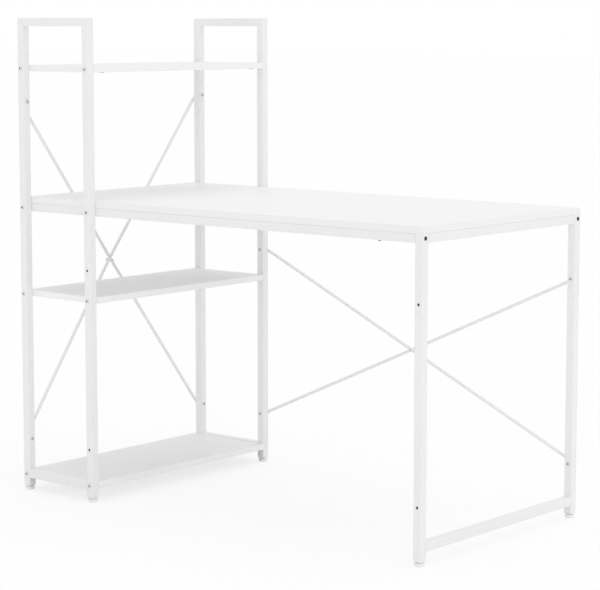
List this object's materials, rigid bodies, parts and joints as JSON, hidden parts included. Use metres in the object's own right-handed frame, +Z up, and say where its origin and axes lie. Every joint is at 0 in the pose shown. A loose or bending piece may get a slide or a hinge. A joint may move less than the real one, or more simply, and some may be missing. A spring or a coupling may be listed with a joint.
{
  "type": "desk with shelves",
  "caption": "White desk on square steel tube legs, with a narrow open shelf tower joined to one end and crossed rods bracing the tower's side and the desk's back.",
  "frame": {"origin": "on the floor, under the middle of the overall box", "axes": "+X along the desk away from the tower, +Y towards the braced back, +Z up"},
  "size_m": [1.2328, 0.6548, 1.15],
  "materials": {
    "frame_paint": "fine white powder coat",
    "rod_paint": "white powder coat on round rod",
    "desk_board": "white melamine on particle board, faint grain",
    "shelf_board": "white melamine on particle board, faint grain",
    "zinc": "bright zinc plating",
    "dark_bolt": "black oxide",
    "foot_plastic": "matt white plastic",
    "plug_plastic": "matt pale grey plastic"
  },
  "bodies": {
    "frame": {"apron_back": "frame_paint", "apron_bolts": "zinc", "apron_end_caps": "plug_plastic", "apron_end_plugs": "plug_plastic", "apron_front": "frame_paint", "apron_rivet_nuts": "zinc", "back_brace_falling": "rod_paint", "back_brace_rising": "rod_paint", "board_screws": "zinc", "brace_bolts": "zinc", "brace_cross_bolts": "zinc", "brace_cross_nuts": "zinc", "brace_nuts": "zinc", "desk_board": "desk_board", "foot_inserts": "plug_plastic", "leg_bolts": "dark_bolt", "leg_low_rail": "frame_paint", "leg_post_back": "frame_paint", "leg_post_front": "frame_paint", "leg_top_rail": "frame_paint", "shelf_barrel_nuts": "zinc", "shelf_bolts": "zinc", "shelf_bottom": "shelf_board", "shelf_middle": "shelf_board", "shelf_top": "shelf_board", "side_brace_falling": "rod_paint", "side_brace_rising": "rod_paint", "tower_low_rung_back": "frame_paint", "tower_low_rung_front": "frame_paint", "tower_post_back_left": "frame_paint", "tower_post_back_right": "frame_paint", "tower_post_front_left": "frame_paint", "tower_post_front_right": "frame_paint", "tower_top_rail_back": "frame_paint", "tower_top_rail_front": "frame_paint"},
    "foot_leg_back": {"foot_leg_back": "foot_plastic"},
    "foot_leg_front": {"foot_leg_front": "foot_plastic"},
    "foot_tower_back_left": {"foot_tower_back_left": "foot_plastic"},
    "foot_tower_back_right": {"foot_tower_back_right": "foot_plastic"},
    "foot_tower_front_left": {"foot_tower_front_left": "foot_plastic"},
    "foot_tower_front_right": {"foot_tower_front_right": "foot_plastic"}
  },
  "joints": [
    {"name": "level_leg_back", "type": "slide", "parent": "frame", "child": "foot_leg_back", "axis": [0, 0, 1], "range_m": [-0.01, 0]},
    {"name": "level_leg_front", "type": "slide", "parent": "frame", "child": "foot_leg_front", "axis": [0, 0, 1], "range_m": [-0.01, 0]},
    {"name": "level_tower_back_left", "type": "slide", "parent": "frame", "child": "foot_tower_back_left", "axis": [0, 0, 1], "range_m": [-0.01, 0]},
    {"name": "level_tower_back_right", "type": "slide", "parent": "frame", "child": "foot_tower_back_right", "axis": [0, 0, 1], "range_m": [-0.01, 0]},
    {"name": "level_tower_front_left", "type": "slide", "parent": "frame", "child": "foot_tower_front_left", "axis": [0, 0, 1], "range_m": [-0.01, 0]},
    {"name": "level_tower_front_right", "type": "slide", "parent": "frame", "child": "foot_tower_front_right", "axis": [0, 0, 1], "range_m": [-0.01, 0]}
  ]
}
